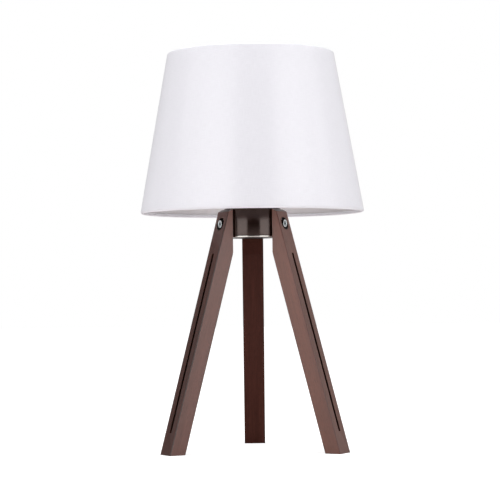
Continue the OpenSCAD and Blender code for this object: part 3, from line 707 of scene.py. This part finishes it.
def make_clamp():
    """The clamp ring: a flange with 24 round ribs under a sleeve with 48 grip waves."""
    ribs, grips, flange_r = 24, 48, 24.5
    clamp = dense(rounded([(19.65, 335.1), (24.6, 335.1), (24.6, 337.6), (22.65, 337.6),
                           (22.65, 342.1), (19.65, 342.1)], (0.3, 0.4, 0.5, 0.4, 0.8, 0.5)), 0.6)

    def relief(radius, height, angle):
        off = (angle * ribs / TAU + 0.5) % 1 - 0.5
        rib = np.sqrt(np.clip(1 - (off * TAU / ribs * flange_r) ** 2, 0, 1))
        grip = 0.25 * wave(grips * angle)
        on_sleeve = (radius > 22.2) * (height > 338) * fall(height, 341.6, 0.8)
        return 0.9 * rib * rise(radius, 23.6, 0.8) - grip * on_sleeve

    place("clamp_nut", turned("clamp_nut", clamp, 768, relief), "clamp", "holder_black",
          "clamp_ring")


def make_shell():
    """The brass screw shell of the lampholder, rolled into the bulb's thread."""
    shell = dense(np.array([(7, 339), (13.9, 339), (14.1, 339.2), (14.1, 361), (13.7, 361),
                            (13.7, 339.4), (7, 339.4)]), 0.35)

    def roll(radius, height, angle):
        return (thread_wave(height, angle, BULB_PITCH, 341, 360) - 1) * (radius > 13.5)

    place("rolled_shell", turned("rolled_shell", shell, 144, roll), "stand", "contact_brass",
          "screw_shell")


# --- Bulb ---

def make_bulb():
    """The glass and its screw cap. The glass is a round of radius 30 at the top, a hollow
    curve of radius 35 that meets it, and a straight neck; its inner wall is 1 mm inside."""
    top, neck = np.array([0, 419.0]), np.array([48.5, 375.7])
    top_r, neck_r, wall = 30, 35, 1
    join = math.atan2(*(neck - top)[::-1])
    steps = 48

    def outline(inset):
        high = np.linspace(math.pi / 2, join, steps)
        low = np.linspace(join + math.pi, math.pi, steps // 2)
        return np.concatenate([
            top + (top_r - inset) * np.stack([np.cos(high), np.sin(high)], 1),
            (neck + (neck_r + inset) * np.stack([np.cos(low), np.sin(low)], 1))[1:],
            [(13.5 - inset, 368.2 + 1.2 * inset)]])

    outer, inner = outline(0), outline(wall)
    outer[0, 0] = inner[0, 0] = 0
    foot = np.array([(12.75, 368), (12.75, 360), (11.75, 360), (11.75, 369)])
    glass = np.concatenate([outer, foot, inner[::-1]])
    place("frosted_envelope", turned("frosted_envelope", glass, 192, loop=False), "bulb",
          "bulb_glass", "bulb_glass")

    cap = dense(np.array([(9, 346), (12.6, 346), (13.2, 346.7), (13.2, 367.6), (13.05, 368),
                          (12.8, 368), (12.8, 346.8), (12.4, 346.4), (9, 346.4)]), 0.35)

    def roll(radius, height, angle):
        thread = thread_wave(height, angle, BULB_PITCH, 347.5, 361.5) - 1
        pinch = -0.25 * np.exp(-((height - 364.5) / 0.7) ** 2) * (np.cos(8 * angle) > 0.2)
        return (thread + pinch) * (radius > 12.5)

    place("rolled_cap", turned("rolled_cap", cap, 192, roll), "bulb", "bulb_cap", "bulb_cap")


# --- Shade ---

def make_carrier():
    """The pressed ring that the clamp holds, its three arms and the two wire hoops. An arm
    runs up the liner, round a bend of 12 mm and level to the ring's rim. A weld flares it
    at both ends."""
    ring_r = 28
    ring = rounded([(19.9, 333.3), (26.5, 333.3), (26.5, 330.8), (ring_r, 330.8),
                    (ring_r, 334.8), (19.9, 334.8)], (0.4, 0.3, 0.5, 0.5, 1.4, 0.4))
    place("pressed_ring", turned("pressed_ring", ring), "shade", "white_wire", "carrier_ring")

    inset, bend = ARM_R + 0.3 - WIRE_R, 12
    bend_z = ARM_Z - bend
    rise_to_bend = (bend_z - EDGE_BOTTOM[1] + (inset + bend) * math.sin(TAPER)) / math.cos(TAPER)
    bend_r = (EDGE_BOTTOM[0] - (inset + bend) * math.cos(TAPER)
              - rise_to_bend * math.sin(TAPER))
    start_r, start_z = on_slant(-inset, 0.9)
    end_r, end_z = on_slant(-inset, rise_to_bend)
    lift = np.linspace(0, 1, 14, endpoint=False)
    swing = np.linspace(TAPER, math.pi / 2, 20)
    inward = np.linspace(0, 1, 40)[1:]
    radius = np.concatenate([start_r + (end_r - start_r) * lift, bend_r + bend * np.cos(swing),
                             bend_r + (27.6 - bend_r) * inward])
    height = np.concatenate([start_z + (end_z - start_z) * lift, bend_z + bend * np.sin(swing),
                             np.full(len(inward), ARM_Z)])
    route = np.stack([radius, np.zeros(len(radius)), height], 1)
    near_ring = np.exp(-np.clip(radius - ring_r, 0, None) / 0.7)
    near_hoop = np.exp(-np.clip(height - start_z, 0, None) / 1.2) * (radius > 100)
    thick = ARM_R + 0.25 * near_ring + 0.35 * near_hoop
    # Both ends close to a point 0.4 mm farther on
    route = np.concatenate([route[:1], route, route[-1:]])
    thick = np.concatenate([[0], thick, [0]])
    route[0, 2] -= 0.4
    route[-1, 0] -= 0.4
    for leg, bearing in LEGS.items():
        name = "carrier_arm_" + leg
        across = at_bearing(np.array([[0.0, 1.0, 0.0]]), bearing)[0]
        arm = swept(name, at_bearing(route, bearing), thick, across)
        place(name, arm, "shade", "white_wire", "carrier_arms")

    section = around(20)
    for name, middle, node in (("lower_hoop", -LINER, "shade_bottom_wire"),
                               ("upper_hoop", SLANT + LINER, "shade_top_wire")):
        r, z = on_slant(WIRE_R * np.cos(section), middle + WIRE_R * np.sin(section))
        place(name, turned(name, np.stack([r, z], 1), 288), "shade", "white_wire", node)


def seam_ridge(angle, height, soft):
    """Height of the glued overlap at each angle: full over its width, falling to nothing
    over soft mm at its cut end and over three times that at the other."""
    along = past(angle, SEAM_BEARING) * EDGE_BOTTOM[0]
    cut_end = np.clip(along / soft + 1, 0, 1)
    far_end = np.clip((SEAM_WIDTH - along) / (3 * soft) + 1, 0, 1)
    return height * cut_end * cut_end * (3 - 2 * cut_end) * far_end * far_end * (3 - 2 * far_end)


def shade_angles():
    """Angles of the shade's columns: 1.25 degrees apart, with more at the seam and on both
    sides of each arm's notch."""
    even = np.radians(np.arange(0, 360, 1.25))
    seam = math.radians(SEAM_BEARING) + np.linspace(-1.2, 14.5, 40) / EDGE_BOTTOM[0]
    notch = np.array([-2.9, -2.35, -2.25, -1, 0, 1, 2.25, 2.35, 2.9]) / EDGE_BOTTOM[0]
    notches = np.concatenate([math.radians(b) + notch for b in LEGS.values()])
    return np.unique(np.round(np.concatenate([even, seam, notches]) % TAU, 7))


def make_cloth(angle):
    """The shade's cloth. Its middle line, drawn across the wall, starts tucked in above the
    lower wire, goes round the wire inside and below, up the outer face, and round the upper
    wire in the same way. A closed skin runs 0.24 mm to each side of it, half the cloth's
    thickness less a hundredth. At each arm the lower tuck is shorter, which leaves a notch."""
    notch_half = 2.3
    away = np.min([np.abs(past(angle, bearing)) for bearing in LEGS.values()], 0)
    open_here = np.clip((notch_half - away * EDGE_BOTTOM[0]) / 0.1 + 0.5, 0, 1)[None, :]

    def edge(tuck, tuck_at_notch):
        """Angles round a wire, in radians: the tucked and rolled part, and the outer corner."""
        start = tuck + (tuck_at_notch - tuck) * open_here
        roll = start + (270 - start) * np.linspace(0, 1, 22)[:, None]
        outer = np.broadcast_to(np.linspace(270, 360, 12)[1:, None], (11, len(angle)))
        return np.radians(roll), np.radians(outer)

    def skin(side):
        """(across, along) the wall of the skin that lies side mm outside the middle line."""
        wrap, corner = WIRE_R + FABRIC / 2 + side, EDGE_R - FABRIC / 2 + side
        ends = []
        for tuck_at_notch in (262, 70):
            roll, outer = edge(70, tuck_at_notch)
            ends.append((np.concatenate([wrap * np.cos(roll), corner * np.cos(outer)]),
                         np.concatenate([wrap * np.sin(roll) - LINER, corner * np.sin(outer)])))
        (low_across, low_along), (high_across, high_along) = ends
        wall = np.linspace(0, 1, 26)[1:-1, None] * SLANT + np.zeros((1, len(angle)))
        across = np.concatenate([low_across, np.full(wall.shape, corner), high_across[::-1]])
        along = np.concatenate([low_along, wall, (SLANT - high_along)[::-1]])
        return across, along

    out_across, out_along = skin(FABRIC / 2 - 0.01)
    in_across, in_along = skin(-FABRIC / 2 + 0.01)
    on_wall = rise(out_across, 2.2, 0.3)
    out_across = out_across + seam_ridge(angle, 0.42, 0.5)[None, :] * on_wall
    radius, height = on_slant(np.concatenate([out_across, in_across[::-1]]),
                              np.concatenate([out_along, in_along[::-1]]))
    points = np.stack([radius * np.cos(angle), radius * np.sin(angle), height], -1)
    line = np.stack([out_across[:, 0], out_along[:, 0]], 1)
    down = np.concatenate([[0], np.cumsum(np.linalg.norm(np.diff(line, axis=0), axis=1))]) * MM
    mean_r = (EDGE_BOTTOM[0] + EDGE_TOP[0]) / 2 * MM
    u = np.append(angle, angle[0] + TAU) * mean_r
    v = np.concatenate([down, down[::-1] + FABRIC * MM, down[:1]])
    mesh = surface("satin_shade", points, uv=(u, v), sharp=50)
    cloth_piece = place("satin_shade", mesh, "shade", "shade_fabric", "shade_fabric")


def make_liner(angle):
    """The stiff liner that the cloth is laminated to, with its glued overlap on its inside
    and its edges held in the rolled edges."""
    low, high = 0.1, SLANT - 0.1
    inner, outer = WIRE_R + 0.05, WIRE_R + LINER - 0.05
    wall = dense(rounded([(inner, low), (outer, low), (outer, high), (inner, high)], 0.12, 2), 12)
    across = np.repeat(wall[:, :1], len(angle), 1)
    along = wall[:, 1:]
    inside = fall(across, 1.7, 0.12) * rise(along, 3.8, 0.3)
    inside = inside * fall(along, SLANT - 3.8, 0.3)
    across = across - seam_ridge(angle, LINER, 0.25)[None, :] * inside
    radius, height = on_slant(across, np.repeat(along, len(angle), 1))
    points = np.stack([radius * np.cos(angle), radius * np.sin(angle), height], -1)
    place("rolled_liner", surface("rolled_liner", points), "shade", "shade_liner", "shade_liner")


# --- Studio ---

def make_floor():
    """A floor 18 m wide. The camera sees it keep a faint shadow near the lamp and go as
    white as the background farther out. Other rays find it plain, pale and barely warm."""
    half = 9000
    corners = np.array([[(-half, -half, 0), (half, -half, 0)],
                        [(-half, half, 0), (half, half, 0)]], float)
    floor = bpy.data.objects.new("floor", surface("floor", corners, (False, False)))
    bpy.context.scene.collection.objects.link(floor)
    made, tree, shader = finish_of("pale_floor")
    tree.nodes.remove(shader)
    here = add(tree, "TexCoord", output="Object")
    distance = add(tree, "VectorMath", {0: here}, "Value", operation="LENGTH")
    glow = add(tree, "MapRange", {"Value": distance, "From Min": 0.3, "From Max": 1.5,
                                  "To Min": 0.74, "To Max": 1.0})
    lit = add(tree, "Emission", {"Color": "#ffffff", "Strength": glow})
    pale = add(tree, "BsdfDiffuse", {"Color": "#cbcbcb"})
    white = add(tree, "AddShader", {0: pale, 1: lit})
    plain = add(tree, "BsdfDiffuse", {"Color": "#e3dddd"})
    both = add(tree, "MixShader", {0: seen_by_camera(tree), 1: plain, 2: white})
    fill(tree.nodes["Material Output"], {"Surface": both})
    floor.data.materials.append(made)


def make_room():
    """The camera sees the room white. A gloss sees its pale wall behind the lamp, brighter
    to the right, and its soft light comes from the half of the room that is not the
    camera's."""
    world = bpy.data.worlds.new("studio")
    bpy.context.scene.world = world
    world.use_nodes = True
    tree = world.node_tree
    direction = add(tree, "TexCoord", output="Object")
    towards_wall = add(tree, "VectorMath", {0: direction, 1: (0.25, 0.97, 0)}, "Value",
                       operation="DOT_PRODUCT")
    wall = add(tree, "MapRange", {"Value": towards_wall, "From Min": -0.14, "From Max": 1.0,
                                  "To Min": 0.0, "To Max": 0.5})
    backward = add(tree, "SeparateXYZ", {0: direction}, "Y")
    half_room = add(tree, "MapRange", {"Value": backward, "From Min": -0.25, "From Max": 0.25,
                                       "To Min": 0.02, "To Max": 0.7})
    glossy = add(tree, "LightPath", output="Is Glossy Ray")
    soft = add(tree, "Mix", {0: glossy, 2: half_room, 3: wall})
    strength = add(tree, "Math", {0: soft, 1: seen_by_camera(tree)}, operation="MAXIMUM")
    fill(tree.nodes["Background"], {"Color": "#ffffff", "Strength": strength})


def soft_box(name, width, height, power, azimuth, elevation):
    """A soft box that faces the lamp from 1.8 m. Azimuth is counted from the front to the
    right."""
    middle, distance = Vector((0, 0, 0.28)), 1.8
    lamp = bpy.data.lights.new(name, "AREA")
    lamp.shape = "RECTANGLE"
    lamp.size, lamp.size_y = width, height
    lamp.energy = power
    a, e = math.radians(azimuth), math.radians(elevation)
    away = Vector((math.sin(a) * math.cos(e), -math.cos(a) * math.cos(e), math.sin(e)))
    box = bpy.data.objects.new(name, lamp)
    box.matrix_world = (Matrix.Translation(middle + away * distance)
                        @ away.to_track_quat("Z", "Y").to_matrix().to_4x4())
    bpy.context.scene.collection.objects.link(box)


# Two soft boxes beside the camera, a strip box farther out on each side and one box above:
# name, width and height in m, power in W, azimuth and elevation in degrees
SOFT_BOXES = (
    ("soft_box_left", 1.4, 1.3, 11.7, -42, 12.5),
    ("soft_box_right", 1.3, 1.3, 11.2, 49, 12.5),
    ("strip_box_left", 0.5, 1.3, 2.8, -78, 12.5),
    ("strip_box_right", 0.5, 1.3, 3, 84, 12.5),
    ("soft_box_above", 1.0, 0.8, 28, 0, 84),
)

# Finishes of the nodes that stay as they are
KEPT = {
    "zinc": ("weld_nuts", "threaded_tube", "tube_washer", "tube_nut", "cap_lock_screw"),
    "black_plate": ("gland_nut",),
    "insulating": ("contact_block",),
    "contact_brass": ("centre_contact", "terminals", "terminal_screws"),
    "bulb_black": ("bulb_insulator",),
    "bulb_cap": ("bulb_tip",),
}

make_camera()
make_legs()
make_screws()
make_hub()
make_cap()
make_body()
make_clamp()
make_shell()
make_bulb()
make_carrier()
make_cloth(shade_angles())
make_liner(shade_angles())
make_floor()
make_room()
for box in SOFT_BOXES:
    soft_box(*box)
for slot, nodes in KEPT.items():
    for node in nodes:
        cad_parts[node].data.materials.clear()
        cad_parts[node].data.materials.append(FINISH[slot])

bpy.context.scene.view_settings.view_transform = "Standard"
